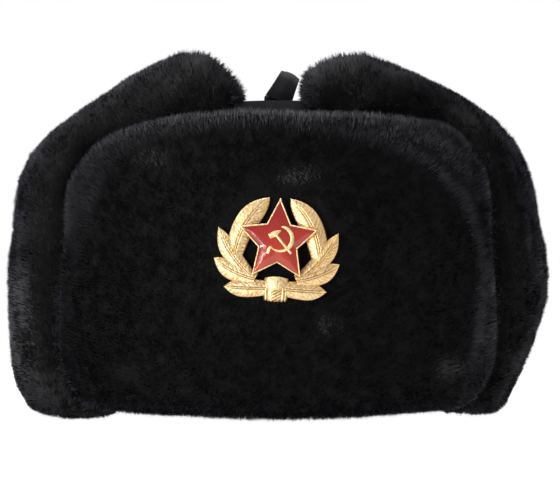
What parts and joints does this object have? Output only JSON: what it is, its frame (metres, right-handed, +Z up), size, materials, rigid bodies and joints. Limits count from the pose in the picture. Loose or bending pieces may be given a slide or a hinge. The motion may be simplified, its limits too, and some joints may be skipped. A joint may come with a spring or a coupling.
{
  "type": "winter hat",
  "caption": "Black plush winter hat with its ear flaps tied up over the crown and an enamelled badge on the front flap.",
  "frame": {"origin": "middle of the bounding box's underside, on the surface that the hat rests on", "axes": "+Z up, front and badge towards -Y, +X to the right in the picture"},
  "size_m": [0.2388, 0.2624, 0.1566],
  "materials": {
    "plush": "deep pile",
    "crown_cloth": "matt woven",
    "tie_tape": "twill",
    "badge_gilt": "gilt, polished",
    "badge_enamel": "glossy enamel"
  },
  "bodies": {
    "root": {"crown_middle": "crown_cloth", "crown_side_left": "crown_cloth", "crown_side_right": "crown_cloth", "front_flap": "plush", "ear_flap_right": "plush", "ear_flap_left": "plush", "neck_flap": "plush", "tie_left": "tie_tape", "tie_right": "tie_tape", "bow_knot": "tie_tape", "bow_loop": "tie_tape", "tie_end_left": "tie_tape", "tie_end_right": "tie_tape", "badge_wreath": "badge_gilt", "badge_star": "badge_gilt", "badge_enamel": "badge_enamel"}
  },
  "joints": []
}
